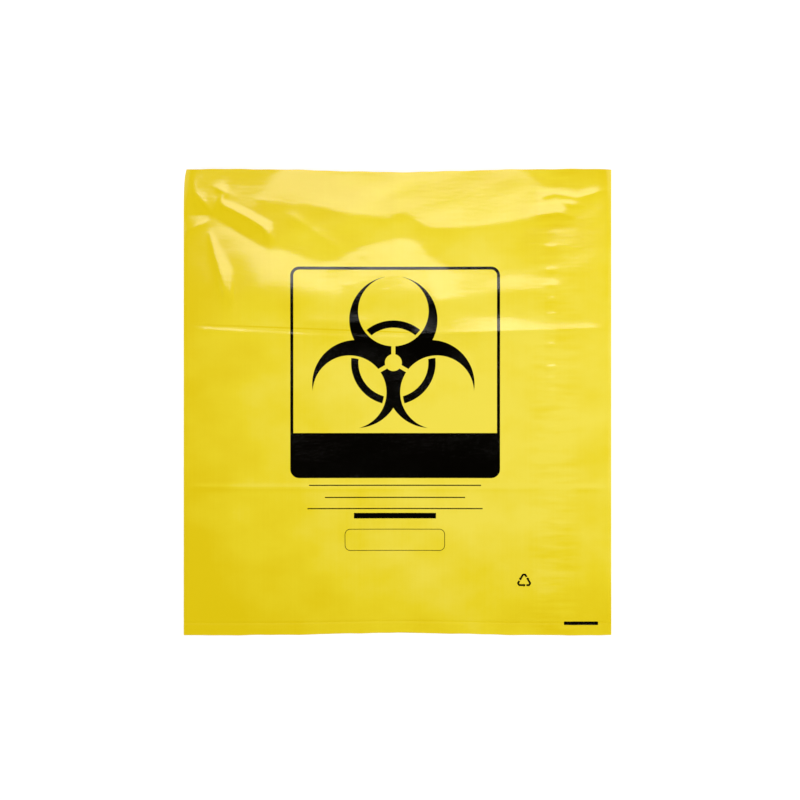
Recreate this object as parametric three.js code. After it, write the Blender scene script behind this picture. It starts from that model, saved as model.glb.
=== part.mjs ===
// A lay-flat polythene waste bag, lying on its back wall with the mouth at +Y.
//
// The bag is one physical piece: a tube of blown film, pressed flat so that both
// sides are folds, welded straight across near the bottom and cut below the weld.
// All sizes are millimetres, +Z is up, and X runs across the bag.
import * as THREE from 'three';

// The bag as it is sold, pressed flat
const bagWidth = 550;
const bagLength = 600;
const filmThickness = 0.05;

// The bottom weld, and the two loose plies of film left below it
const weldWidth = 3;
const skirtLength = 14.5;

// The cut edges bow inwards a little at the middle of the bag
const mouthBow = 3.9;
const mouthBowSpread = 110;
const bottomBow = 3.2;
const bottomBowSpread = 110;
const bowReach = 70;

// The left corner of the mouth is drawn in by the crumple beside it
const cornerDrawnIn = 3.6;
const cornerReachAlong = 13;
const cornerReachAcross = 60;

// Clear height between the two walls, from the tight places to the loose ones
const closedGap = 0.2;
const bodyGap = 6.6;
const mouthGap = 8;
const weldRise = 55;
const foldRise = 4;

// Two creases across the bag and one along it, left from its folding
const upperCreaseFromMouth = 212;
const upperCreaseHeight = 1.7;
const lowerCreaseFromMouth = 409;
const lowerCreaseHeight = 0.8;
const creaseWidth = 12;
const lengthCreaseHeight = 0.6;

// A soft roll across the mouth, a hollow behind it, and a low swell behind the hollow
const rollFromMouth = 60;
const rollHeight = 1.5;
const rollWidth = 26;
const hollowFromMouth = 98;
const hollowDepth = 1.1;
const hollowWidth = 18;
const swellFromMouth = 160;
const swellHeight = 1.4;
const swellWidth = 30;

// Crumples at the two mouth corners
const leftCrumpleFromFold = 37;
const leftCrumpleFromMouth = 56;
const leftCrumpleHeight = 2.4;
const leftCrumpleReach = 30;
const rightCrumpleFromFold = 54;
const rightCrumpleFromMouth = 40;
const rightCrumpleHeight = 1.6;
const rightCrumpleReach = 26;

// The widest spacing of the mesh's lines, across and along the bag
const acrossStep = 27;
const alongStep = 20;

const foldX = bagWidth / 2;
const mouthY = bagLength / 2;
const bottomY = -bagLength / 2;
const weldLowY = bottomY + skirtLength;
const weldHighY = weldLowY + weldWidth;

function bump(distance, width) {
  return Math.exp(-((distance / width) ** 2));
}

function crease(distance, width) {
  return Math.exp(-Math.abs(distance) / width);
}

// A crumple is a point from which a few shallow folds fan out and die away
function crumple(dx, dy, reach, foldCount, turn) {
  const distance = Math.hypot(dx, dy);
  const fan = Math.cos(foldCount * Math.atan2(dy, dx) + turn);
  return crease(distance, reach) * (0.5 + 0.5 * fan);
}

// Clear height between the walls at a place on the flat bag
function clearHeight(x, y) {
  if (y <= weldHighY) return closedGap;
  const along = 1 - Math.exp(-(y - weldHighY) / weldRise);
  const across = 1 - Math.abs(x / foldX) ** foldRise;
  const towardsMouth = bump(mouthY - y, bagLength / 3);
  let height = bodyGap + (mouthGap - bodyGap) * towardsMouth;
  const fromMouth = mouthY - y;
  height += upperCreaseHeight * crease(fromMouth - upperCreaseFromMouth, creaseWidth);
  height += lowerCreaseHeight * crease(fromMouth - lowerCreaseFromMouth, creaseWidth);
  height += lengthCreaseHeight * crease(x, creaseWidth);
  height += rollHeight * bump(fromMouth - rollFromMouth, rollWidth);
  height -= hollowDepth * bump(fromMouth - hollowFromMouth, hollowWidth);
  height += swellHeight * bump(fromMouth - swellFromMouth, swellWidth);
  const leftX = x - (-foldX + leftCrumpleFromFold);
  const rightX = x - (foldX - rightCrumpleFromFold);
  height += leftCrumpleHeight
    * crumple(leftX, leftCrumpleFromMouth - fromMouth, leftCrumpleReach, 3, 0.6);
  height += rightCrumpleHeight
    * crumple(rightX, rightCrumpleFromMouth - fromMouth, rightCrumpleReach, 2, 1.4);
  return closedGap + height * across * along;
}

// The cut edges' bow moves the film's lines near the mouth and near the bottom
function bowedY(x, y) {
  const atMouth = mouthBow * bump(x, mouthBowSpread) * Math.exp(-(mouthY - y) / bowReach);
  const atBottom = bottomBow * bump(x, bottomBowSpread) * Math.exp(-(y - bottomY) / bowReach);
  return y - atMouth + atBottom;
}

// How far the drawn-in corner of the mouth moves the film across the bag
function cornerShift(x, y) {
  const along = Math.exp(-(mouthY - y) / cornerReachAlong);
  const across = Math.exp(-(x + foldX) / cornerReachAcross);
  return cornerDrawnIn * along * across;
}

// Evenly spaced stations that also fall on every mark between the two ends
function stations(marks, step) {
  const sorted = [...marks].sort((a, b) => a - b);
  const result = [sorted[0]];
  for (let i = 1; i < sorted.length; i += 1) {
    const from = sorted[i - 1];
    const span = sorted[i] - from;
    if (span < filmThickness) continue;
    const count = Math.max(1, Math.ceil(span / step));
    for (let k = 1; k <= count; k += 1) result.push(from + (span * k) / count);
  }
  return result;
}

const columns = stations([-foldX, -foldX + creaseWidth, 0, foldX - creaseWidth, foldX], acrossStep);

const upperCreaseY = mouthY - upperCreaseFromMouth;
const lowerCreaseY = mouthY - lowerCreaseFromMouth;
const alongMarks = [
  weldHighY,
  weldHighY + creaseWidth,
  lowerCreaseY - creaseWidth,
  lowerCreaseY,
  lowerCreaseY + creaseWidth,
  upperCreaseY - creaseWidth,
  upperCreaseY,
  upperCreaseY + creaseWidth,
  mouthY - hollowFromMouth,
  mouthY - rollFromMouth,
  mouthY,
];
const bagRows = stations(alongMarks, alongStep);
const rows = [bottomY, weldLowY, ...bagRows];
const weldLow = rows.indexOf(weldLowY);
const weldHigh = rows.indexOf(weldHighY);
const mouthRow = rows.length - 1;
const lastColumn = columns.length - 1;

// The four layers of film surface, from the ground up
const BACK_OUTSIDE = 'backOutside';
const BACK_INSIDE = 'backInside';
const FRONT_INSIDE = 'frontInside';
const FRONT_OUTSIDE = 'frontOutside';

function point(layer, i, j) {
  const inside = layer === BACK_INSIDE || layer === FRONT_INSIDE;
  const limit = inside ? foldX - filmThickness : foldX;
  const x = Math.min(limit, Math.max(-limit, columns[i]));
  const gap = clearHeight(columns[i], rows[j]);
  const heights = {
    [BACK_OUTSIDE]: 0,
    [BACK_INSIDE]: filmThickness,
    [FRONT_INSIDE]: filmThickness + gap,
    [FRONT_OUTSIDE]: 2 * filmThickness + gap,
  };
  const height = Math.round(heights[layer] * 1000) / 1000;
  return [x + cornerShift(x, rows[j]), bowedY(x, rows[j]), height];
}

const positions = [];

function quad(a, b, c, d) {
  positions.push(...a, ...b, ...c, ...a, ...c, ...d);
}

// One layer between two rows; faceUp says which side the film's surface looks to
function sheet(layer, fromRow, toRow, faceUp) {
  for (let j = fromRow; j < toRow; j += 1) {
    for (let i = 0; i < lastColumn; i += 1) {
      const a = point(layer, i, j);
      const b = point(layer, i + 1, j);
      const c = point(layer, i + 1, j + 1);
      const d = point(layer, i, j + 1);
      if (faceUp) quad(a, b, c, d);
      else quad(a, d, c, b);
    }
  }
}

// The bend of film along one side, between two rows, outside or inside
function foldWall(column, low, high, fromRow, toRow, facePlusX) {
  for (let j = fromRow; j < toRow; j += 1) {
    const a = point(low, column, j);
    const b = point(low, column, j + 1);
    const c = point(high, column, j + 1);
    const d = point(high, column, j);
    if (facePlusX) quad(a, b, c, d);
    else quad(a, d, c, b);
  }
}

// A face that looks along the bag, between two layers on one row
function endFace(low, high, row, facePlusY) {
  for (let i = 0; i < lastColumn; i += 1) {
    const a = point(low, i, row);
    const b = point(low, i + 1, row);
    const c = point(high, i + 1, row);
    const d = point(high, i, row);
    if (facePlusY) quad(a, d, c, b);
    else quad(a, b, c, d);
  }
}

// The cut end of the bent film at one side
function foldEnd(column, row, facePlusY) {
  const a = point(BACK_OUTSIDE, column, row);
  const b = point(BACK_INSIDE, column, row);
  const c = point(FRONT_INSIDE, column, row);
  const d = point(FRONT_OUTSIDE, column, row);
  const atRight = column === lastColumn;
  if (facePlusY === atRight) quad(a, b, c, d);
  else quad(a, d, c, b);
}

// Outside of the tube, over its whole length
sheet(BACK_OUTSIDE, 0, mouthRow, false);
sheet(FRONT_OUTSIDE, 0, mouthRow, true);
foldWall(0, BACK_OUTSIDE, FRONT_OUTSIDE, 0, mouthRow, false);
foldWall(lastColumn, BACK_OUTSIDE, FRONT_OUTSIDE, 0, mouthRow, true);

// Inside of the tube, in the skirt and in the bag, with the weld between them
for (const [fromRow, toRow] of [[0, weldLow], [weldHigh, mouthRow]]) {
  sheet(BACK_INSIDE, fromRow, toRow, true);
  sheet(FRONT_INSIDE, fromRow, toRow, false);
  foldWall(0, BACK_INSIDE, FRONT_INSIDE, fromRow, toRow, true);
  foldWall(lastColumn, BACK_INSIDE, FRONT_INSIDE, fromRow, toRow, false);
}
endFace(BACK_INSIDE, FRONT_INSIDE, weldLow, false);
endFace(BACK_INSIDE, FRONT_INSIDE, weldHigh, true);

// The cut edges of the film at the skirt and at the mouth
for (const [row, facePlusY] of [[0, false], [mouthRow, true]]) {
  endFace(BACK_OUTSIDE, BACK_INSIDE, row, facePlusY);
  endFace(FRONT_INSIDE, FRONT_OUTSIDE, row, facePlusY);
  foldEnd(0, row, facePlusY);
  foldEnd(lastColumn, row, facePlusY);
}

const geometry = new THREE.BufferGeometry();
geometry.setAttribute('position', new THREE.Float32BufferAttribute(positions, 3));
geometry.computeVertexNormals();

// Glossy yellow polythene, slightly see-through
const film = new THREE.MeshStandardMaterial({
  name: 'film',
  color: 0xf0da3c,
  roughness: 0.22,
  metalness: 0,
});

const bag = new THREE.Mesh(geometry, film);
bag.name = 'bag';

const part = new THREE.Group();
part.add(bag);

export default part;
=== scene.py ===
# %% [markdown]
# A flat polythene bag for clinic waste.
#
# The real object is a tube of thin yellow film. It is blown as an endless tube, pressed flat between
# rollers, welded across, cut to length and printed on one side. It lies flat and empty here, with the
# print up and the mouth away from us, and the camera looks straight down on it.
#
# Nearly all of its look comes from two things: how gloss runs over the small rises and creases of the
# film, and how clean the print is. So the film is modelled with its true creases, and the print is
# drawn with exact shapes in the material.

import math

import bpy
import numpy as np
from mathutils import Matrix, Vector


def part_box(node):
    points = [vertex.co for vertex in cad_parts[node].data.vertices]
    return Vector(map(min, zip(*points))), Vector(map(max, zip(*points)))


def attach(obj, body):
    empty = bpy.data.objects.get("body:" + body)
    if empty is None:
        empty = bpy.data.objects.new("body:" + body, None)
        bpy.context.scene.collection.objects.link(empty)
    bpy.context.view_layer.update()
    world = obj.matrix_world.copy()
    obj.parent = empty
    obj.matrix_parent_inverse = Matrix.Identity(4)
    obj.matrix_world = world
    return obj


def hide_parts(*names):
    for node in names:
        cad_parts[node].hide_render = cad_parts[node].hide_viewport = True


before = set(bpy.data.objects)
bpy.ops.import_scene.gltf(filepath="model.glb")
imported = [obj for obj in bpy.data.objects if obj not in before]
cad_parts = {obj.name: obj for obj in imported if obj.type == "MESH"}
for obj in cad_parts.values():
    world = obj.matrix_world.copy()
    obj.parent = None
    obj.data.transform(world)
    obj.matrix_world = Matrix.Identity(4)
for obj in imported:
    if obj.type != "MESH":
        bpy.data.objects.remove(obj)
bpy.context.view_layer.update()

# %% [markdown]
# Sizes first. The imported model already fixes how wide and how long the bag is, so those two are read
# from it. The camera looks straight down, so a place in the photograph turns into a place on the bag
# with one scale. All lengths are metres, X runs across the bag and Y along it, towards the mouth.

# %% Sizes and the photograph's scale
MM = 0.001
low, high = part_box("bag")
bag_width = high[0] - low[0]
bag_length = high[1] - low[1]
film_thickness = 0.05 * MM
weld_height = 16 * MM
fold_x = bag_width / 2
mouth_y = bag_length / 2

photo_side = 800
photo_bag_length = 466.5
photo_centre = (397.5, 402.25)
pixel = bag_length / photo_bag_length


def on_bag(px, py):
    """The place on the bag, in metres from its centre, that a point of the photograph shows."""
    return (px - photo_centre[0]) * pixel, (photo_centre[1] - py) * pixel


print(f"one pixel of the photograph is {pixel / MM:.3f} mm on the bag")

# %% [markdown]
# The camera stands far away with a long lens, which is how a flat product is photographed: all four
# sides of the bag then look parallel. Its distance follows from the lens, so that 800 pixels span the
# same width of table as in the photograph.

# %% Camera
lens = 100
sensor = 36
frame_width = photo_side * pixel
camera_height = frame_width * lens / sensor
camera_x, camera_y = on_bag(photo_side / 2, photo_side / 2)

bpy.ops.object.camera_add(location=(camera_x, camera_y, camera_height), rotation=(0, 0, 0))
camera = bpy.context.object
camera.name = "camera"
camera.data.lens = lens
camera.data.sensor_width = sensor
bpy.context.scene.camera = camera
print(f"the camera stands {camera_height:.2f} m above the bag")

# %% [markdown]
# The table is a light table: a pale sheet that glows a little by itself, so no shadow shows on it. The
# light from above is soft. One big softbox hangs beyond the mouth end of the bag, where the upper part
# of the film mirrors it into the camera, and that mirror image makes the pale patches of gloss. A
# second one stands low at the right, and makes the right side of the film a little lighter.

# %% Table and softboxes
table_glow = 0.22

bpy.ops.mesh.primitive_plane_add(size=8, location=(0, 0, -0.2 * MM))
table = bpy.context.object
table.name = "table"
table_paint = bpy.data.materials.new("table_paint")
table_paint.use_nodes = True
table_shader = table_paint.node_tree.nodes["Principled BSDF"]
table_shader.inputs["Base Color"].default_value = (0.93, 0.93, 0.93, 1)
table_shader.inputs["Roughness"].default_value = 0.9
table_shader.inputs["Specular IOR Level"].default_value = 0.1
table_shader.inputs["Emission Color"].default_value = (1, 1, 1, 1)
table_shader.inputs["Emission Strength"].default_value = table_glow
table.data.materials.append(table_paint)


def softbox(name, place, aim, size, radiance):
    """An area light at place that faces aim. Radiance is how bright its mirror image is."""
    bpy.ops.object.light_add(type="AREA", location=place)
    light = bpy.context.object
    light.name = name
    light.data.shape = "RECTANGLE"
    light.data.size, light.data.size_y = size
    light.data.energy = radiance * math.pi * size[0] * size[1]
    away = np.array(place) - np.array(aim)
    across = math.hypot(away[0], away[1])
    light.rotation_euler = (math.atan2(across, away[2]), 0, math.atan2(away[0], -away[1]))
    return light


softbox_y, softbox_z = 1.30, 3.0
softbox_width, softbox_depth = 2.0, 1.5
over_mouth = (0, softbox_y, softbox_z)
softbox("softbox_over_mouth", over_mouth, (0, 0, 0), (softbox_width, softbox_depth), 4.3)
softbox("softbox_at_right", (1.7, 0.3, 1.1), (0, 0, 0), (1.6, 1.6), 0.8)

# %% [markdown]
# The room gives the rest of the light. It is bright round the sides and dark overhead, because the
# camera looks down, and what the film mirrors straight up is the dark ceiling behind the camera. That
# is what keeps the ink black.

# %% Room light
room_light, ceiling_light = 1.14, 0.008
ceiling_fades_in, ceiling_full = math.radians(38), math.radians(58)
world = bpy.data.worlds.new("room")
bpy.context.scene.world = world
world.use_nodes = True
room_nodes = world.node_tree.nodes
direction = room_nodes.new("ShaderNodeTexCoord")
height_of_sky = room_nodes.new("ShaderNodeSeparateXYZ")
to_ceiling = room_nodes.new("ShaderNodeMapRange")
to_ceiling.inputs["From Min"].default_value = math.sin(ceiling_fades_in)
to_ceiling.inputs["From Max"].default_value = math.sin(ceiling_full)
to_ceiling.inputs["To Min"].default_value = room_light
to_ceiling.inputs["To Max"].default_value = ceiling_light
world.node_tree.links.new(direction.outputs["Generated"], height_of_sky.inputs[0])
world.node_tree.links.new(height_of_sky.outputs["Z"], to_ceiling.inputs["Value"])
world.node_tree.links.new(to_ceiling.outputs[0], room_nodes["Background"].inputs["Strength"])
room_nodes["Background"].inputs["Color"].default_value = (1, 1, 1, 1)
bpy.context.scene.view_settings.view_transform = "Standard"

# %% [markdown]
# The film starts as what it is: one flat sheet, unrolled. A grid primitive is laid down, and its lines
# are moved closer together where the film has creases, so the points are spent where they are seen.

# %% Where the lines of the grid crowd together
front_columns = 150
back_columns = 18
rows = 280


def stations(start, end, count, crowded):
    """count + 1 places from start to end, closer together around each (centre, reach, extra)."""
    fine = np.linspace(start, end, 6001)
    density = np.ones_like(fine)
    for centre, reach, extra in crowded:
        density += extra * np.exp(-(((fine - centre) / reach) ** 2))
    share = np.concatenate([[0], np.cumsum((density[1:] + density[:-1]) / 2)])
    return np.interp(np.linspace(0, 1, count + 1), share / share[-1], fine)


crease_1_y = on_bag(0, 330)[1]
crease_2_y = on_bag(0, 485)[1]
crumple_left_x, crumple_y = on_bag(215, 212)
crumple_right_x = on_bag(570, 0)[0]

across = stations(
    -fold_x,
    fold_x,
    front_columns,
    [(crumple_left_x, 45 * MM, 1.3), (crumple_right_x, 45 * MM, 0.9)],
)
along = stations(
    -mouth_y,
    mouth_y,
    rows,
    [
        (crumple_y, 45 * MM, 1.0),
        (crease_1_y, 8 * MM, 2.5),
        (crease_2_y, 6 * MM, 1.0),
        (-mouth_y + weld_height, 4 * MM, 2.5),
    ],
)
print("closest lines:", np.diff(across).min() / MM, np.diff(along).min() / MM, "mm")

# %% [markdown]
# The relief of the front wall is a sum of simple shapes, each one a thing that can be pointed at in
# the photograph. A facet is a patch of film between two lines, tipped a few degrees towards the mouth,
# so that it mirrors the softbox. A pinch is a short ridge between two points, as crumpled film makes.
# The points in the shapes below are places in the photograph, where a patch of gloss starts and ends.
# Most angles are a little over the one at which film in that place starts to mirror the softbox. The
# heights that follow from them are a guess, for a photograph from straight above doesn't show any.

# %% The shapes that the relief is made of
def soft_step(value, start, end):
    """0 before start, 1 after end, and a smooth curve between them."""
    t = np.clip((value - start) / (end - start), 0, 1)
    return t * t * (3 - 2 * t)


def soft_ramp(value, softness):
    """0 below zero and value above it, with a round bend as wide as softness."""
    return softness * np.logaddexp(0, value / softness)


def line_through(x, points):
    """The Y of a line through points of the photograph, at each X."""
    places = np.array([on_bag(px, py) for px, py in points])
    return np.interp(x, places[:, 0], places[:, 1])


def between(x, start_px, end_px, fade):
    """1 between two columns of the photograph, fading to 0 over fade on each side."""
    start, end = on_bag(start_px, 0)[0], on_bag(end_px, 0)[0]
    return soft_step(x, start - fade, start + fade) * (1 - soft_step(x, end - fade, end + fade))


def facet(x, y, top, foot, degrees, top_soft, foot_soft, fall, fade):
    """Film that climbs from the line top to the line foot, then falls away below it."""
    below_top = soft_ramp(line_through(x, top) - y, top_soft)
    below_foot = soft_ramp(line_through(x, foot) - y, foot_soft)
    climb = math.tan(math.radians(degrees)) * (below_top - below_foot)
    return climb * np.exp(-below_foot / fall) * between(x, top[0][0], top[-1][0], fade)


def pinch(x, y, start, end, height, left_side, right_side, blunt=1.0 * MM):
    """A short ridge from start to end. Its flanks are as wide as left_side and right_side."""
    ax, ay = on_bag(*start)
    bx, by = on_bag(*end)
    length = math.hypot(bx - ax, by - ay)
    ux, uy = (bx - ax) / length, (by - ay) / length
    run = (x - ax) * ux + (y - ay) * uy
    off = (y - ay) * ux - (x - ax) * uy
    beyond = np.maximum(0, np.maximum(-run, run - length))
    width = np.where(off > 0, left_side, right_side)
    side = (np.sqrt(off**2 + blunt**2) - blunt) / width
    taper = 0.35 + 0.65 * np.sin(np.pi * np.clip(run / length, 0, 1))
    return height * taper * np.exp(-side - beyond / (0.5 * (left_side + right_side)))


def tell_heights(*shapes):
    """Print how far each shape moves the film, down and up."""
    grid = np.meshgrid(np.linspace(-fold_x, fold_x, 200), np.linspace(-mouth_y, mouth_y, 200))
    for shape in shapes:
        heights = shape(*grid) / MM
        print(f"{shape.__name__}: {heights.min():.2f} to {heights.max():.2f} mm")


softbox_lean = math.atan2(softbox_y, softbox_z)
near_edge_y = softbox_y - softbox_depth / 2 * math.cos(softbox_lean)
near_edge_z = softbox_z + softbox_depth / 2 * math.sin(softbox_lean)
least_tilt = math.degrees(math.atan2(near_edge_y, near_edge_z)) / 2
print(f"the middle of the bag starts to mirror the softbox at a tilt of {least_tilt:.1f} degrees")

# %% [markdown]
# The bag is a little fuller in the middle than at its sides. Along the mouth its film makes a soft
# roll, with a hollow behind it, and both corners of the mouth stand up a little.

# %% The body of the bag and its mouth
body_height = 3.4 * MM
body_weld_reach = 55 * MM
body_flatness = 9


def body_rise(x, y):
    """The bag is a little fuller in the middle than at its folds and its weld."""
    from_weld = np.clip((y + mouth_y - weld_height) / body_weld_reach, 0, None)
    over_weld = 1 - np.exp(-from_weld)
    over_folds = 1 - np.abs(x / fold_x) ** body_flatness
    return body_height * over_weld * over_folds


def mouth_roll(x, y):
    """The roll of film along the mouth, with the hollow behind it."""
    top = [(262, 187), (546, 187)]
    foot = [(262, 203), (291, 205), (306, 204), (334, 210), (376, 217), (391, 218), (400, 212)]
    foot += [(408, 214), (421, 224), (430, 228), (456, 228), (505, 224), (546, 216)]
    roll = facet(x, y, top, foot, 2.1, 13 * MM, 1.2 * MM, 32 * MM, 15 * MM)
    end_top = [(538, 190), (556, 190), (581, 195), (592, 193)]
    end_foot = [(538, 217), (545, 216), (559, 212), (568, 208), (581, 201), (592, 196)]
    return roll + facet(x, y, end_top, end_foot, 2.4, 1.5 * MM, 1.0 * MM, 20 * MM, 5 * MM)


def lifted_corner(x, y, edge, degrees, fade):
    """A mouth corner that climbs towards the mouth, from the line edge, so it mirrors no light."""
    above = soft_ramp(y - line_through(x, edge), 2.5 * MM)
    return math.tan(math.radians(degrees)) * above * between(x, edge[0][0], edge[-1][0], fade)


def mouth_corners(x, y):
    right = [(514, 164), (530, 174), (545, 187), (570, 191), (620, 190)]
    left = [(170, 214), (208, 212), (224, 194), (240, 184), (266, 183), (288, 164)]
    return lifted_corner(x, y, right, 3.2, 7 * MM) + lifted_corner(x, y, left, 2.6, 7 * MM)


tell_heights(body_rise, mouth_roll, mouth_corners)

# %% [markdown]
# Behind the hollow the film swells again. Two creases run across the bag, where it was folded in the
# packet. Just above each crease the film is tipped towards the mouth and shines.

# %% Swells and cross creases
def swell_below_hollow(x, y):
    top = [(250, 248), (268, 245), (278, 247), (299, 255), (320, 261), (338, 261), (344, 255)]
    top += [(369, 243), (400, 237), (414, 240), (421, 244), (428, 254), (438, 262), (452, 268)]
    foot = [(250, 296), (330, 302), (452, 304)]
    return facet(x, y, top, foot, 3.1, 1.5 * MM, 9 * MM, 30 * MM, 20 * MM)


def swell_left(x, y):
    """Below the pinched corner the film swells too, but less."""
    top = [(202, 232), (213, 235), (231, 246), (250, 249), (272, 247)]
    foot = [(202, 288), (272, 292)]
    return facet(x, y, top, foot, 0.5, 2 * MM, 9 * MM, 30 * MM, 14 * MM)


def swell_right(x, y):
    top = [(432, 268), (500, 273), (562, 276)]
    foot = [(432, 304), (470, 300), (500, 294), (562, 288)]
    return facet(x, y, top, foot, 3.4, 4 * MM, 2 * MM, 18 * MM, 9 * MM)


def crease_1_right(x, y):
    top = [(410, 306), (470, 313), (540, 319), (608, 325)]
    foot = [(410, 335), (450, 333.5), (500, 332), (608, 328)]
    return facet(x, y, top, foot, 5.6, 3 * MM, 0.6 * MM, 11 * MM, 8 * MM)


def crease_1_left(x, y):
    line = [(196, 326), (300, 332), (355, 334), (420, 335)]
    foot = [(px, py + 3) for px, py in line]
    return facet(x, y, line, foot, 6.0, 0.6 * MM, 0.6 * MM, 9 * MM, 10 * MM)


def streak_left(x, y):
    top = [(306, 313), (376, 312)]
    foot = [(306, 322), (376, 324)]
    return facet(x, y, top, foot, 5.2, 1.5 * MM, 1.2 * MM, 12 * MM, 14 * MM)


def crease_2(x, y):
    top = [(184, 476), (612, 476)]
    foot = [(184, 486), (400, 484), (612, 487)]
    return facet(x, y, top, foot, 1.6, 3 * MM, 1.0 * MM, 14 * MM, 4 * MM)


tell_heights(swell_below_hollow, swell_left, swell_right)
tell_heights(crease_1_right, crease_1_left, streak_left, crease_2)

# %% [markdown]
# Both corners of the mouth are crumpled. The left one is pinched hard: its folds fan out from one
# point. The right one was pulled less.

# %% Crumpled corners
def crumple_left(x, y):
    """The pinched corner: folds that fan out from one point, and a hollow that runs to the right."""
    band_top = [(221, 198), (231, 202), (250, 211), (271, 222)]
    band_foot = [(221, 205), (231, 209), (250, 219), (262, 227), (271, 239)]
    relief = facet(x, y, band_top, band_foot, 8.0, 0.6 * MM, 0.6 * MM, 8 * MM, 3 * MM)
    corner_top = [(178, 218), (209, 219)]
    corner_foot = [(178, 234), (186, 231), (209, 221)]
    relief += facet(x, y, corner_top, corner_foot, 5.5, 0.5 * MM, 0.6 * MM, 8 * MM, 2 * MM)
    relief -= pinch(x, y, (184, 216), (212, 215), 0.4 * MM, 4 * MM, 3 * MM, 0.5 * MM)
    relief += pinch(x, y, (216, 188), (226, 193), 1.2 * MM, 6 * MM, 3 * MM, 0.6 * MM)
    relief += pinch(x, y, (226, 192), (215, 211), 1.7 * MM, 6 * MM, 5 * MM, 0.7 * MM)
    relief += pinch(x, y, (190, 176), (197, 206), 1.0 * MM, 9 * MM, 5 * MM, 0.6 * MM)
    relief += pinch(x, y, (197, 193), (211, 212), 1.2 * MM, 6 * MM, 6 * MM, 0.6 * MM)
    relief += pinch(x, y, (211, 231), (221, 292), 0.6 * MM, 15 * MM, 6 * MM, 1.0 * MM)
    streak_top = [(208, 230), (213, 233), (233, 268)]
    streak_foot = [(208, 234), (217, 264), (224, 290), (233, 297)]
    relief += facet(x, y, streak_top, streak_foot, 3.0, 1.0 * MM, 3 * MM, 14 * MM, 2.5 * MM)
    relief -= pinch(x, y, (212, 216), (262, 246), 0.9 * MM, 6 * MM, 12 * MM, 2 * MM)
    return relief


def crumple_right(x, y):
    """The other corner is pulled less: two short folds, and the film beyond them tips away."""
    relief = pinch(x, y, (543, 198), (554, 194), 0.8 * MM, 5 * MM, 2 * MM, 0.5 * MM)
    relief += pinch(x, y, (554, 194), (577, 198), 0.9 * MM, 6 * MM, 3 * MM, 0.5 * MM)
    relief += pinch(x, y, (577, 198), (607, 190), 1.3 * MM, 6 * MM, 4 * MM, 0.5 * MM)
    relief += pinch(x, y, (563, 203), (582, 206), 0.8 * MM, 4 * MM, 3 * MM, 0.5 * MM)
    relief += pinch(x, y, (536, 215), (559, 213), 0.6 * MM, 6 * MM, 3 * MM, 0.5 * MM)
    relief += pinch(x, y, (556, 212), (572, 217), 0.9 * MM, 5 * MM, 3 * MM, 0.5 * MM)
    relief -= pinch(x, y, (530, 227), (575, 228), 0.5 * MM, 8 * MM, 8 * MM, 3 * MM)
    return relief


tell_heights(crumple_left, crumple_right)

# %% [markdown]
# The small things: a column of cross folds near the right side, a crease along the middle, a soft
# ridge in the hollow, and the slack of film that nothing pulls tight.

# %% Crimps, length crease and slack
crimp_column = 551
crimp_rows = [247, 270, 285, 300, 315, 345, 368, 379, 392, 403, 414, 427, 444, 457, 471]
crimp_rows += list(range(496, 606, 13))
crimp_strengths = [(290, 1.0), (340, 1.3), (385, 1.45), (photo_side, 0.8)]


def crimps(x, y):
    """Where the bag was folded on its roll, the film keeps a row of small cross folds."""
    px_x, _ = on_bag(crimp_column, 0)
    narrow = np.exp(-(((x - px_x) / (6.5 * MM)) ** 4))
    wide = np.exp(-(((x - px_x - 6 * MM) / (34 * MM)) ** 2))
    relief = np.zeros_like(x)
    for number, py in enumerate(crimp_rows):
        below = on_bag(0, py)[1] - y
        strength = next(value for limit, value in crimp_strengths if py < limit)
        flank = np.clip(1 + below / (4.2 * MM), 0, 1)
        sharp = np.where(below < 0, flank, np.exp(-below / (2.4 * MM)))
        soft = np.exp(-((below / (6.5 * MM)) ** 2))
        shift = 0.6 + 0.4 * math.sin(2.4 * number)
        relief += strength * (0.42 * MM * narrow * sharp + 0.13 * MM * wide * soft * shift)
    return relief


def length_crease(x, y):
    """The bag was also folded once along its middle, which shows near the mouth."""
    along_x = on_bag(395, 0)[0]
    near_mouth = soft_step(y, on_bag(0, 300)[1], on_bag(0, 240)[1])
    return 0.5 * MM * np.exp(-np.abs(x - along_x) / (4 * MM)) * (0.25 + 0.75 * near_mouth)


def hollow_ridge(x, y):
    """A soft ridge that wanders through the hollow, and a few flecks where the film is nipped."""
    relief = pinch(x, y, (287, 214), (308, 227), 0.7 * MM, 8 * MM, 8 * MM, 2 * MM)
    relief += pinch(x, y, (308, 227), (340, 249), 0.5 * MM, 9 * MM, 9 * MM, 2 * MM)
    for px, py in ((332, 268), (364, 254), (387, 290), (348, 284), (262, 199)):
        relief += pinch(x, y, (px - 3, py + 1), (px + 3, py + 1), 0.35 * MM, 3 * MM, 3 * MM, 0.5 * MM)
    return relief


slack_steepness = 0.0007


def slack(x, y):
    """Film that lies slack is never quite flat: 12 long waves, each a tenth of a millimetre at most."""
    waves = np.zeros_like(x)
    for number in range(12):
        length = (26 + 12 * number) * MM
        heading = 0.5 * math.pi + 0.75 * math.sin(1.7 * number + 0.4)
        bend = 1.3 * np.sin(9 * x + number) + 0.9 * np.sin(7 * y + 2 * number)
        phase = (x * math.cos(heading) + y * math.sin(heading)) * 2 * math.pi / length
        waves += slack_steepness * length * np.sin(phase + 2.1 * number + bend)
    return waves


tell_heights(crimps, length_crease, hollow_ridge, slack)

# %% [markdown]
# All of it together. The relief dies away at both folds and at the weld, where the two walls of film
# hold each other down.

# %% The front wall
relief_flatness = 44
relief_weld_reach = 30 * MM


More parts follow.
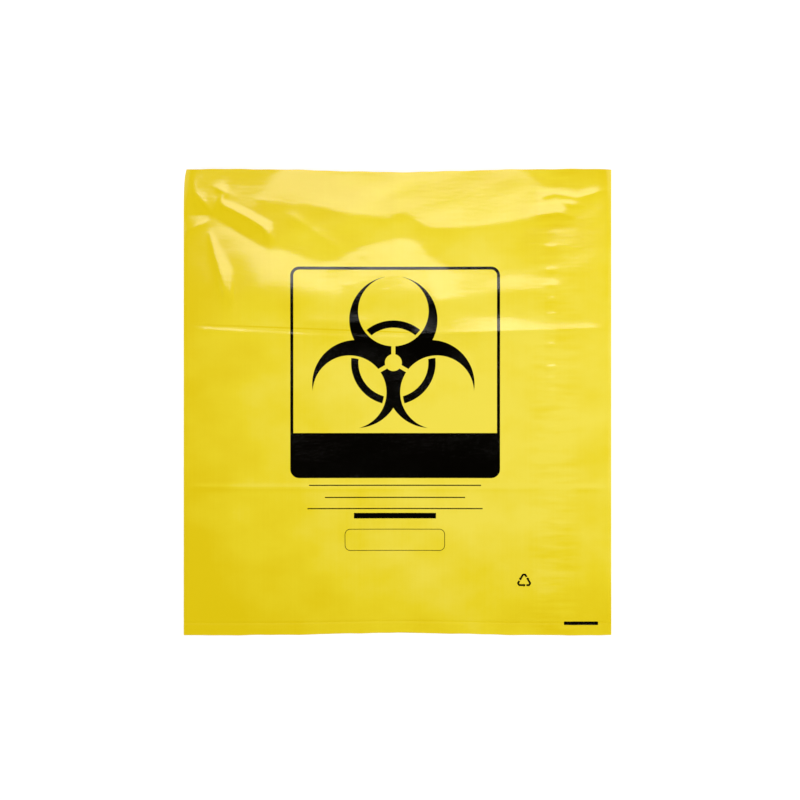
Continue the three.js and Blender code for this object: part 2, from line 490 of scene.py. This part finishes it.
def front_height(x, y):
    wide = 1 - np.abs(x / fold_x) ** relief_flatness
    weld_y = -mouth_y + weld_height
    from_weld = soft_step(y, weld_y, weld_y + relief_weld_reach)
    relief = mouth_roll(x, y) + mouth_corners(x, y) + slack(x, y)
    relief += swell_below_hollow(x, y) + swell_left(x, y) + swell_right(x, y)
    relief += crease_1_right(x, y) + crease_1_left(x, y) + streak_left(x, y) + crease_2(x, y)
    relief += crumple_left(x, y) + crumple_right(x, y) + hollow_ridge(x, y)
    relief += crimps(x, y) + length_crease(x, y)
    return body_rise(x, y) + relief * wide * from_weld


tell_heights(front_height)

# %% [markdown]
# Now the unrolled sheet is wrapped into the flat tube. Measured round the tube, the front wall is the
# middle half of the sheet and the two ends of the sheet meet behind, so there is no seam to see. In
# the weld the front wall is pressed down until its inside runs into the back wall's inside. The
# UV map keeps the place on the unrolled sheet, and the print uses it, as a printing roller does.

# %% Wrap the sheet into a flat tube
fold_gap = 0.3 * MM
fold_round = 0.4 * MM
welded_gap = 0.09 * MM
weld_half_width = 1.6 * MM
mouth_bow_depth, foot_bow_depth = 3.9 * MM, 3.2 * MM
bow_spread, bow_reach = 110 * MM, 70 * MM
corner_drawn_in = 3.6 * MM
corner_reach_along, corner_reach_across = 13 * MM, 60 * MM
cut_waves = [(0.25 * MM, 70, 1.0), (0.18 * MM, 163, 0.0)]
cut_wave_reach = 12 * MM
half_tube = 2 * fold_x
back_half = np.linspace(fold_x + fold_round, half_tube, back_columns // 2 + 1)
across[1] = -fold_x + fold_round
across[-2] = fold_x - fold_round
round_tube = np.concatenate([-back_half[::-1], across, back_half])

bpy.ops.mesh.primitive_grid_add(
    x_subdivisions=len(round_tube) - 1, y_subdivisions=len(along) - 1, size=1
)
bag = bpy.context.object
bag.name = "film_bag"
point_count = len(bag.data.vertices)
print("grid points:", point_count, "expected", len(round_tube) * len(along))
grid = np.empty(point_count * 3)
bag.data.vertices.foreach_get("co", grid)
grid = grid.reshape(-1, 3)
column = np.rint((grid[:, 0] + 0.5) * (len(round_tube) - 1)).astype(int)
row = np.rint((grid[:, 1] + 0.5) * (len(along) - 1)).astype(int)
u = round_tube[column]
y = along[row]

on_front = np.abs(u) <= fold_x
x = np.where(on_front, u, np.sign(u) * (half_tube - np.abs(u)))
in_weld = np.exp(-(((y + mouth_y - weld_height) / weld_half_width) ** 4))
gap = fold_gap + (welded_gap - fold_gap) * in_weld
z = np.where(on_front, front_height(x, y) + gap, 0)
z = np.where(np.isclose(np.abs(u), fold_x), gap / 2, z)

from_mouth, from_foot, from_left = mouth_y - y, mouth_y + y, fold_x + x
across_bow = np.exp(-((x / bow_spread) ** 2))
mouth_bow = mouth_bow_depth * across_bow * np.exp(-from_mouth / bow_reach)
foot_bow = foot_bow_depth * across_bow * np.exp(-from_foot / bow_reach)
drawn_in = corner_drawn_in * np.exp(-from_mouth / corner_reach_along)
drawn_in *= np.exp(-from_left / corner_reach_across)
cut_wave = sum(height + height * np.sin(turns * x + start) for height, turns, start in cut_waves)
cut_wave *= np.sign(y) * np.exp(-(mouth_y - np.abs(y)) / cut_wave_reach)
placed = np.column_stack([x + drawn_in, y - mouth_bow + foot_bow - cut_wave, z])
bag.data.vertices.foreach_set("co", placed.ravel())

uv = bag.data.uv_layers.active.data
loop_vertex = np.empty(len(bag.data.loops), dtype=int)
bag.data.loops.foreach_get("vertex_index", loop_vertex)
flat_uv = np.column_stack([(u + half_tube) / (2 * half_tube), (y + mouth_y) / bag_length])
uv.foreach_set("uv", flat_uv[loop_vertex].ravel())

# %% [markdown]
# The two ends of the sheet now lie on each other behind the bag, and are joined. Then the film gets its
# real thickness, inwards, which also makes the cut edges at the mouth and at the foot.

# %% Close the tube, give the film its thickness and smooth it
bpy.ops.object.mode_set(mode="EDIT")
bpy.ops.mesh.select_all(action="SELECT")
bpy.ops.mesh.remove_doubles(threshold=0.02 * MM)
bpy.ops.mesh.normals_make_consistent(inside=False)
bpy.ops.object.mode_set(mode="OBJECT")

outside_faces = len(bag.data.polygons)
thickness = bag.modifiers.new("film_thickness", "SOLIDIFY")
thickness.thickness = film_thickness
thickness.offset = -1
bpy.ops.object.modifier_apply(modifier=thickness.name)
bpy.ops.object.shade_smooth_by_angle(angle=math.radians(50))
print("triangles:", sum(len(p.vertices) - 2 for p in bag.data.polygons))

# %% [markdown]
# The print is one colour of ink, and every shape in it is made of circles, boxes and straight lines.
# Such a shape has a simple formula for how far a point lies outside its edge, so the ink is drawn by
# arithmetic, and its edge stays sharp however close the camera comes. A picture would blur.

# %% Small helpers for node arithmetic
def maths(tree, operation, *values):
    """A Math node. Each value is a number or the output of another node."""
    node = tree.nodes.new("ShaderNodeMath")
    node.operation = operation
    for socket, value in zip(node.inputs, values):
        if isinstance(value, (int, float)):
            socket.default_value = value
        else:
            tree.links.new(value, socket)
    return node.outputs[0]


def vectors(tree, operation, *values):
    """A Vector Math node. Each value is a triple of numbers or the output of another node."""
    node = tree.nodes.new("ShaderNodeVectorMath")
    node.operation = operation
    for socket, value in zip(node.inputs, values):
        if isinstance(value, tuple):
            socket.default_value = value
        else:
            tree.links.new(value, socket)
    return node.outputs["Value" if operation in ("LENGTH", "DISTANCE", "DOT_PRODUCT") else "Vector"]


def joined(tree, distances):
    """Several shapes as one: the distance to the nearest of them."""
    result = distances[0]
    for distance in distances[1:]:
        result = maths(tree, "MINIMUM", result, distance)
    return result


def cut_by(tree, shape, *holes):
    """A shape with other shapes taken out of it."""
    for hole in holes:
        shape = maths(tree, "MAXIMUM", shape, maths(tree, "MULTIPLY", hole, -1.0))
    return shape


def disc(tree, place, centre, radius):
    return maths(tree, "SUBTRACT", vectors(tree, "DISTANCE", place, (*centre, 0)), radius)


def rounded_box(tree, place, centre, size, corner):
    """A box of that size, in millimetres, with round corners."""
    moved = vectors(tree, "SUBTRACT", place, (*centre, 0))
    folded = vectors(tree, "ABSOLUTE", moved)
    over = vectors(tree, "SUBTRACT", folded, (size[0] / 2 - corner, size[1] / 2 - corner, 0))
    outside = vectors(tree, "LENGTH", vectors(tree, "MAXIMUM", over, (0, 0, 0)))
    parts = tree.nodes.new("ShaderNodeSeparateXYZ")
    tree.links.new(over, parts.inputs[0])
    inside = maths(tree, "MINIMUM", maths(tree, "MAXIMUM", parts.outputs[0], parts.outputs[1]), 0.0)
    return maths(tree, "SUBTRACT", maths(tree, "ADD", outside, inside), corner)


def outline(tree, shape, width):
    """Only the rim of a shape, as wide as width, measured inwards."""
    return cut_by(tree, shape, maths(tree, "ADD", shape, width))


def turned(tree, place, degrees):
    node = tree.nodes.new("ShaderNodeVectorRotate")
    node.rotation_type = "Z_AXIS"
    node.inputs["Angle"].default_value = math.radians(degrees)
    tree.links.new(place, node.inputs["Vector"])
    return node.outputs[0]


def new_group(name, inputs, outputs):
    """An empty node group. Each input is (name, kind, start value) and each output (name, kind)."""
    group = bpy.data.node_groups.new(name, "ShaderNodeTree")
    for label, kind, value in inputs:
        socket = group.interface.new_socket(label, in_out="INPUT", socket_type=kind)
        if value is not None:
            socket.default_value = value
    for label, kind in outputs:
        group.interface.new_socket(label, in_out="OUTPUT", socket_type=kind)
    return group, group.nodes.new("NodeGroupInput"), group.nodes.new("NodeGroupOutput")


# %% [markdown]
# The sign is the common trefoil: three big discs, each with a smaller disc cut out of it, a round hub,
# a slot along each arm, and a ring that shows only inside the cut-outs. The big discs and the slots are
# one arm, seen from a place turned by a third of a circle. The cut discs have places of their own, for
# the two lower ones are a little bigger and lower, so those horns open wider.

# %% Trefoil
horn_radius, horn_offset = 56.6, 55.0
cut_discs = [((0, 66.4), 45.3), ((-56.2, -38.2), 47.4), ((56.2, -38.2), 47.4)]
top_opening = 22.0
hub_radius = 10.9
slot_width, slot_reach = 5.2, 23.0
ring_inner, ring_outer = 44.9, 54.3
ring_clearance = 3.2


def trefoil(tree, place):
    horns, slots = [], []
    for third in (0, 120, 240):
        arm = turned(tree, place, third)
        horns.append(disc(tree, arm, (0, horn_offset), horn_radius))
        slots.append(rounded_box(tree, arm, (0, slot_reach / 2), (slot_width, slot_reach), 0))
    cuts = joined(tree, [disc(tree, place, centre, radius) for centre, radius in cut_discs])
    opening = rounded_box(tree, place, (0, 110), (top_opening, 40), 0)
    hub = disc(tree, place, (0, 0), hub_radius)
    body = cut_by(tree, joined(tree, horns), cuts, opening, hub, *slots)
    ring = outline(tree, disc(tree, place, (0, 0), ring_outer), ring_outer - ring_inner)
    ring = maths(tree, "MAXIMUM", ring, maths(tree, "ADD", cuts, ring_clearance))
    return maths(tree, "MINIMUM", body, ring)


# %% [markdown]
# Round the sign run a frame with a solid foot. Below it are ruled lines, a bar, an empty box with a
# thin outline, a triangle of three bent arrows, and the short bar that the bag machine reads to cut
# each bag at the right place.

# %% The rest of the print
sign_centre = (-5.3, 51.0)
frame_centre, frame_size = (-3.0, 38.5), (269.4, 272.0)
frame_line, frame_corner = 3.9, 11.6
foot_height = 57.9
bar_centre, bar_size, bar_corner = (-3.2, -146.0), (105.5, 7.2), 0.3
box_centre, box_size, box_corner = (-3.4, -177.2), (128.8, 28.3), 7.2
box_line = 0.8
rules = [(-106.8, 221.0), (-122.4, 180.0), (-136.8, 225.0)]
rule_height = 1.4
arrows_centre, arrows_side, arrows_band = (162.7, -229.8), 5.7, 2.5
arrows_margin, arrows_round = 0.9, 1.66
arrow_gap_from_middle, arrow_gap_size = 2.2, (1.3, 5.0)
arrow_tip, arrow_tail = 1.6, -0.6
eye_mark_centre, eye_mark_size, eye_mark_corner = (236.0, -284.3), (44.0, 4.6), 1.2
edge_softness = 0.35


def bent_arrows(tree, place):
    """A triangle of three arrows that follow each other round its corners."""
    sides, gaps, heads = [], [], []
    for third in (0, 120, 240):
        arm = turned(tree, place, third)
        parts = tree.nodes.new("ShaderNodeSeparateXYZ")
        tree.links.new(arm, parts.inputs[0])
        sides.append(maths(tree, "MULTIPLY", parts.outputs[1], -1.0))
        gap_centre = (arrow_gap_from_middle, -arrows_side)
        gaps.append(rounded_box(tree, arm, gap_centre, arrow_gap_size, 0))
        slope = maths(tree, "ABSOLUTE", maths(tree, "ADD", parts.outputs[1], arrows_side))
        ahead = maths(tree, "SUBTRACT", parts.outputs[0], arrow_tip)
        point = maths(tree, "ADD", slope, ahead)
        back = maths(tree, "SUBTRACT", arrow_tail, parts.outputs[0])
        heads.append(maths(tree, "MAXIMUM", point, back))
    edge = maths(tree, "MAXIMUM", maths(tree, "MAXIMUM", sides[0], sides[1]), sides[2])
    triangle = maths(tree, "SUBTRACT", edge, arrows_side + arrows_margin)
    corners = disc(tree, place, (0, 0), arrows_round * arrows_side)
    band = outline(tree, maths(tree, "MAXIMUM", triangle, corners), arrows_band)
    return maths(tree, "MINIMUM", cut_by(tree, band, *gaps), joined(tree, heads))


ink_group, ink_in, ink_out = new_group(
    "bag_print",
    [("Place", "NodeSocketVector", None)],
    [("Ink", "NodeSocketFloat")],
)
print_place = ink_in.outputs["Place"]
sign_place = vectors(ink_group, "SUBTRACT", print_place, (*sign_centre, 0))
arrows_place = vectors(ink_group, "SUBTRACT", print_place, (*arrows_centre, 0))
frame_box = rounded_box(ink_group, print_place, frame_centre, frame_size, frame_corner)
foot_centre = (frame_centre[0], frame_centre[1] - frame_size[1] / 2 + foot_height / 2)
foot = rounded_box(ink_group, print_place, foot_centre, (frame_size[0], foot_height), 0)
thin_box = rounded_box(ink_group, print_place, box_centre, box_size, box_corner)
shapes = [
    trefoil(ink_group, sign_place),
    outline(ink_group, frame_box, frame_line),
    maths(ink_group, "MAXIMUM", frame_box, foot),
    rounded_box(ink_group, print_place, bar_centre, bar_size, bar_corner),
    outline(ink_group, thin_box, box_line),
    bent_arrows(ink_group, arrows_place),
    rounded_box(ink_group, print_place, eye_mark_centre, eye_mark_size, eye_mark_corner),
]
for rule_y, rule_length in rules:
    rule_size = (rule_length, rule_height)
    shapes.append(rounded_box(ink_group, print_place, (bar_centre[0], rule_y), rule_size, 0))
distance = joined(ink_group, shapes)
amount = maths(ink_group, "SUBTRACT", 0.5, maths(ink_group, "DIVIDE", distance, edge_softness))
clamp = ink_group.nodes.new("ShaderNodeClamp")
ink_group.links.new(amount, clamp.inputs["Value"])
ink_group.links.new(clamp.outputs[0], ink_out.inputs["Ink"])
print("print group:", len(ink_group.nodes), "nodes")

# %% [markdown]
# Blown film is never one even colour. Its tone varies at random in soft clouds, and the die leaves
# faint lines along the web. Light is painted into the same tone: a painted falloff of light and of the
# softbox's haze, palest a little right of the middle and darker towards the folds and the ends; painted
# gloss and shade in soft cross dashes over the small cross folds near the right side; and a painted
# shadow along each cross crease, with a painted highlight just above the lower one. A faint darker line
# runs along the weld. The skin of the film has a grain of low ripples across the web, which frays the
# edge of every gloss patch. The outside and the inside of the film both need all this, so it is one
# node group, worked out in millimetres on the unrolled sheet. The waves of each noise are counted per
# millimetre, across and along the film.

# %% Film tone: clouding, die lines, painted light and shade, weld line and grain
cloud_waves, cloud_strength, cloud_base = (0.013, 0.017), 1.3, 0.25
die_line_waves, die_line_strength = (0.33, 0.003), 0.20
# Painted light: the centre, in mm, and the falloff of the painted light and haze, across and along.
painted_light_across, painted_light_along = (80.0, -7.0e-6), (-20.0, -7.5e-6)
# Painted gloss and shade of the small cross folds: the waves, strength and reach of its band.
painted_crimp_gloss_waves, painted_crimp_gloss_strength = (0.018, 0.12), 1.1
painted_crimp_gloss_reach = (44.0, 12.0)
ripple_waves, ripple_height = (0.07, 0.26), 0.085
grain_waves, grain_height = (0.9, 0.9), 0.003
speckle_waves, speckle_range = (0.55, 0.55), (0.46, 0.60)
mark_fade = 25.0


def noise(tree, place, scale, detail):
    """Smooth noise between 0 and 1. Scale is (across, along), in waves per millimetre."""
    node = tree.nodes.new("ShaderNodeTexNoise")
    node.inputs["Scale"].default_value = 1.0
    node.inputs["Detail"].default_value = detail
    tree.links.new(vectors(tree, "MULTIPLY", place, (scale[0], scale[1], 1.0)), node.inputs["Vector"])
    return node.outputs[0]


def smooth_range(tree, value, start, end):
    """0 where value is start, 1 where it is end, and a smooth curve between them."""
    node = tree.nodes.new("ShaderNodeMapRange")
    node.interpolation_type = "SMOOTHSTEP"
    node.inputs["From Min"].default_value = start
    node.inputs["From Max"].default_value = end
    tree.links.new(value, node.inputs["Value"])
    return node.outputs[0]


def crease_light_and_weld_line(tree, axes, start, end, above, below):
    """A soft line from start to end, pixels of the photograph, fading over above and below, in mm. It
    paints shade and highlights along the creases, and draws the weld line.
    """
    (ax, ay), (bx, by) = [(x / MM, y / MM) for x, y in (on_bag(*start), on_bag(*end))]
    slope = (by - ay) / (bx - ax)
    line_y = maths(tree, "MULTIPLY_ADD", axes.outputs[0], slope, ay - slope * ax)
    over = maths(tree, "SUBTRACT", axes.outputs[1], line_y)
    upper = smooth_range(tree, over, above, 0.0)
    lower = smooth_range(tree, over, -below, 0.0)
    left_end = smooth_range(tree, axes.outputs[0], ax, ax + mark_fade)
    right_end = smooth_range(tree, axes.outputs[0], bx, bx - mark_fade)
    ends = maths(tree, "MULTIPLY", left_end, right_end)
    return maths(tree, "MULTIPLY", maths(tree, "MULTIPLY", upper, lower), ends)


def square(tree, value, centre, strength):
    """Strength times the squared distance of value from centre."""
    apart = maths(tree, "SUBTRACT", value, centre)
    return maths(tree, "MULTIPLY", maths(tree, "MULTIPLY", apart, apart), strength)


film_group, film_in, film_out = new_group(
    "film_tone_and_painted_light",
    [("Place", "NodeSocketVector", None)],
    [("Shade", "NodeSocketFloat"), ("Grain", "NodeSocketFloat"), ("Speckle", "NodeSocketFloat")],
)
film_place = film_in.outputs["Place"]
film_axes = film_group.nodes.new("ShaderNodeSeparateXYZ")
film_group.links.new(film_place, film_axes.inputs[0])
film_x, film_y = film_axes.outputs[0], film_axes.outputs[1]

clouds = noise(film_group, film_place, cloud_waves, 5.0)
clouds = maths(film_group, "MULTIPLY_ADD", clouds, cloud_strength, cloud_base)
die_lines = noise(film_group, film_place, die_line_waves, 3.0)
die_lines = maths(film_group, "MULTIPLY", die_lines, die_line_strength)
# Painted light: the tone is palest a little right of the middle and falls off towards the folds and the
# ends, where less light and less haze of the softbox reach the film.
painted_light_x = square(film_group, film_x, *painted_light_across)
painted_light_y = square(film_group, film_y, *painted_light_along)
painted_light_falloff = maths(film_group, "ADD", painted_light_x, painted_light_y)

# Painted gloss and shade: soft cross dashes in the tone, in a band over the small cross folds near the
# right side.
roll_fold_x = on_bag(crimp_column + 4, 0)[0] / MM
from_roll_fold = maths(film_group, "SUBTRACT", film_x, roll_fold_x)
from_roll_fold = maths(film_group, "ABSOLUTE", from_roll_fold)
painted_crimp_gloss_band = smooth_range(film_group, from_roll_fold, *painted_crimp_gloss_reach)
painted_crimp_gloss = noise(film_group, film_place, painted_crimp_gloss_waves, 3.0)
painted_crimp_gloss = maths(film_group, "SUBTRACT", painted_crimp_gloss, 0.5)
painted_crimp_gloss = maths(film_group, "MULTIPLY", painted_crimp_gloss, painted_crimp_gloss_band)
painted_crimp_gloss = maths(film_group, "MULTIPLY", painted_crimp_gloss, painted_crimp_gloss_strength)

shade = maths(film_group, "ADD", maths(film_group, "ADD", clouds, die_lines), painted_light_falloff)
shade = maths(film_group, "ADD", shade, painted_crimp_gloss)
# Painted shade and highlights along the creases, and the weld line. In order: a painted shadow just
# above the left part of the upper crease, a painted highlight just above the lower crease (a negative
# depth lightens), a painted shadow along the lower crease, and a faint darker line along the weld.
painted_crease_light_and_weld_marks = [
    ((190, 324.5), (420, 333), 1.6, 1.2, 0.9),
    ((184, 485.5), (612, 486.5), 6.0, 2.5, -0.30),
    ((184, 489), (612, 490), 1.2, 7.0, 0.18),
    ((184, 622.5), (612, 622.5), 1.6, 1.6, 0.14),
]
for start, end, above, below, depth in painted_crease_light_and_weld_marks:
    crease_light_and_weld_mark = crease_light_and_weld_line(film_group, film_axes, start, end, above, below)
    shade = maths(film_group, "SUBTRACT", shade, maths(film_group, "MULTIPLY", crease_light_and_weld_mark, depth))
film_group.links.new(shade, film_out.inputs["Shade"])

ripples = noise(film_group, film_place, ripple_waves, 2.0)
ripples = maths(film_group, "MULTIPLY", ripples, ripple_height)
grain = noise(film_group, film_place, grain_waves, 2.0)
grain = maths(film_group, "MULTIPLY_ADD", grain, grain_height, ripples)
film_group.links.new(grain, film_out.inputs["Grain"])
speckle = noise(film_group, film_place, speckle_waves, 2.0)
speckle = smooth_range(film_group, speckle, *speckle_range)
film_group.links.new(speckle, film_out.inputs["Speckle"])
print("film group:", len(film_group.nodes), "nodes")

# %% [markdown]
# The gloss of polythene has two parts: a clear one from its smooth skin and a hazy one from the cloudy
# film below it. The clear one is the shader's own gloss, because the grain bends that one, and the
# hazy one is the coat. Ink has no haze, so the coat stops where the ink starts, and the ink stays deep
# black until the softbox mirrors in it. There its gloss is a little speckled, for ink dries uneven on
# film.

# %% Film material
film_roughness, ink_roughness, speckle_roughness = 0.15, 0.05, 0.01
haze_weight, haze_roughness = 0.28, 0.42
speckle_height = 0.03
# The yellow runs from deep to pale. Besides the film's own uneven tone, this range holds painted light:
# the deep end stands for film that gets less light, and the blue of the pale end is partly painted haze
# of the softbox.
deep_yellow, middle_yellow, pale_yellow = (
    (0.810, 0.605, 0.002, 1),
    (0.868, 0.688, 0.016, 1),
    (0.920, 0.762, 0.068, 1),
)
ink_black = (0.0010, 0.0007, 0.0002, 1)


def film_material(name, with_print):
    material = bpy.data.materials.new(name)
    material.use_nodes = True
    tree = material.node_tree
    shader = tree.nodes["Principled BSDF"]
    shader.inputs["IOR"].default_value = 1.5
    shader.inputs["Roughness"].default_value = film_roughness
    shader.inputs["Coat Weight"].default_value = haze_weight
    shader.inputs["Coat Roughness"].default_value = haze_roughness
    film_map = tree.nodes.new("ShaderNodeUVMap")
    film_map.uv_map = "film"
    to_mm = tree.nodes.new("ShaderNodeMapping")
    to_mm.inputs["Scale"].default_value = (2 * half_tube / MM, bag_length / MM, 1)
    to_mm.inputs["Location"].default_value = (-half_tube / MM, -mouth_y / MM, 0)
    tree.links.new(film_map.outputs[0], to_mm.inputs["Vector"])
    film = tree.nodes.new("ShaderNodeGroup")
    film.node_tree = film_group
    tree.links.new(to_mm.outputs[0], film.inputs["Place"])
    yellow = tree.nodes.new("ShaderNodeValToRGB")
    ramp = yellow.color_ramp
    ramp.elements[0].color = deep_yellow
    ramp.elements[1].color = pale_yellow
    ramp.elements.new(0.5).color = middle_yellow
    tree.links.new(film.outputs["Shade"], yellow.inputs["Fac"])
    bump = tree.nodes.new("ShaderNodeBump")
    bump.inputs["Distance"].default_value = MM
    tree.links.new(bump.outputs[0], shader.inputs["Normal"])
    if not with_print:
        tree.links.new(film.outputs["Grain"], bump.inputs["Height"])
        tree.links.new(yellow.outputs[0], shader.inputs["Base Color"])
        return material
    ink = tree.nodes.new("ShaderNodeGroup")
    ink.node_tree = ink_group
    tree.links.new(to_mm.outputs[0], ink.inputs["Place"])
    colour = tree.nodes.new("ShaderNodeMix")
    colour.data_type = "RGBA"
    tree.links.new(ink.outputs["Ink"], colour.inputs["Factor"])
    tree.links.new(yellow.outputs[0], colour.inputs[6])
    colour.inputs[7].default_value = ink_black
    tree.links.new(colour.outputs[2], shader.inputs["Base Color"])
    haze = maths(tree, "MULTIPLY_ADD", ink.outputs["Ink"], -haze_weight, haze_weight)
    tree.links.new(haze, shader.inputs["Coat Weight"])
    dull = maths(tree, "MULTIPLY", ink.outputs["Ink"], film.outputs["Speckle"])
    gloss_step = ink_roughness - film_roughness
    smooth = maths(tree, "MULTIPLY_ADD", ink.outputs["Ink"], gloss_step, film_roughness)
    rough = maths(tree, "MULTIPLY_ADD", dull, speckle_roughness, smooth)
    tree.links.new(rough, shader.inputs["Roughness"])
    height = maths(tree, "MULTIPLY_ADD", dull, speckle_height, film.outputs["Grain"])
    tree.links.new(height, bump.inputs["Height"])
    return material


bag.data.uv_layers.active.name = "film"
bag.data.materials.append(film_material("yellow_film_outside", True))
bag.data.materials.append(film_material("yellow_film_inside", False))
inside_skin = np.zeros(len(bag.data.polygons), dtype=np.int32)
inside_skin[outside_faces:] = 1
bag.data.polygons.foreach_set("material_index", inside_skin)
print("faces outside and inside:", outside_faces, int(inside_skin.sum()))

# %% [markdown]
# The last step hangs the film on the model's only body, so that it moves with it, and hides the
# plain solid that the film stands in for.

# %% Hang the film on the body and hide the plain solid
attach(bag, "root")
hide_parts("bag")
